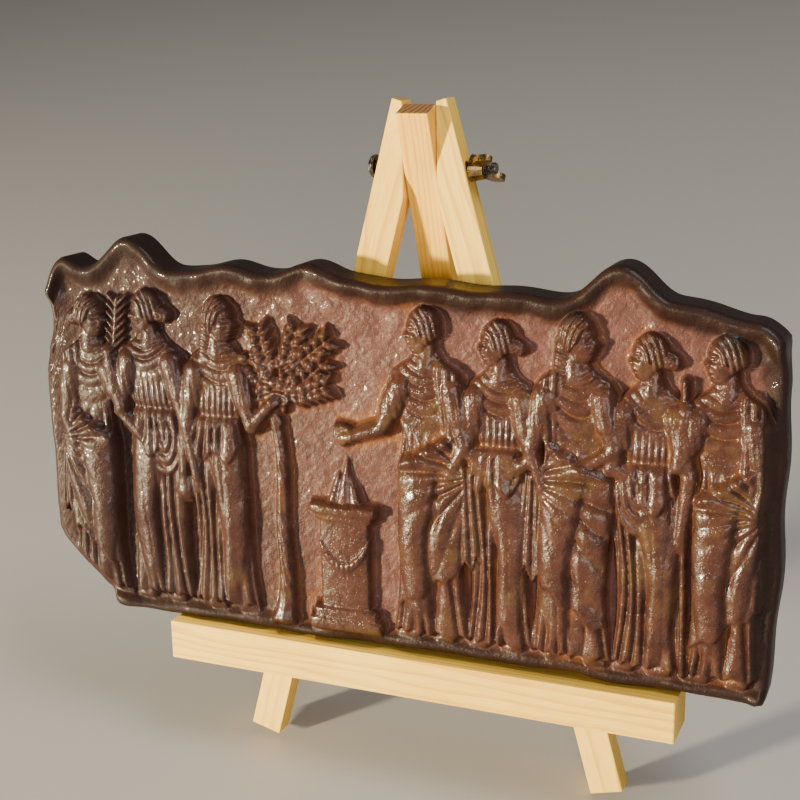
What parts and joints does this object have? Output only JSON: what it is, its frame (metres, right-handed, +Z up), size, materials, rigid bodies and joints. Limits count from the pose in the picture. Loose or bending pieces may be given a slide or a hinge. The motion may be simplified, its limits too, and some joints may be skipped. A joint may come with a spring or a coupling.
{
  "type": "relief plaque",
  "caption": "Glazed relief slab with draped figures, an altar and a tree, resting on a small folding wooden tabletop easel.",
  "frame": {"origin": "on the table, under the middle of the whole object's bounding box", "axes": "+X to the viewer's right along the slab, +Y away from the viewer, +Z up"},
  "size_m": [0.2754, 0.093, 0.2377],
  "materials": {
    "glaze": "dark red-brown glossy glaze, worn and uneven",
    "pine": "plain sanded pine",
    "steel": "plain machine screw",
    "brass": "tarnished brass"
  },
  "bodies": {
    "easel": {"front_leg_left": "pine", "front_leg_right": "pine", "ledge": "pine", "pivot_bolt": "steel", "wing_nut": "brass", "plaque": "glaze"},
    "rear_leg": {"back_leg": "pine"}
  },
  "joints": [
    {"name": "back_leg_fold", "type": "hinge", "parent": "easel", "child": "rear_leg", "pos_m": [0.01223, 0.01998, 0.21443], "axis": [1, 0, 0], "range_deg": [-20, 25]}
  ]
}
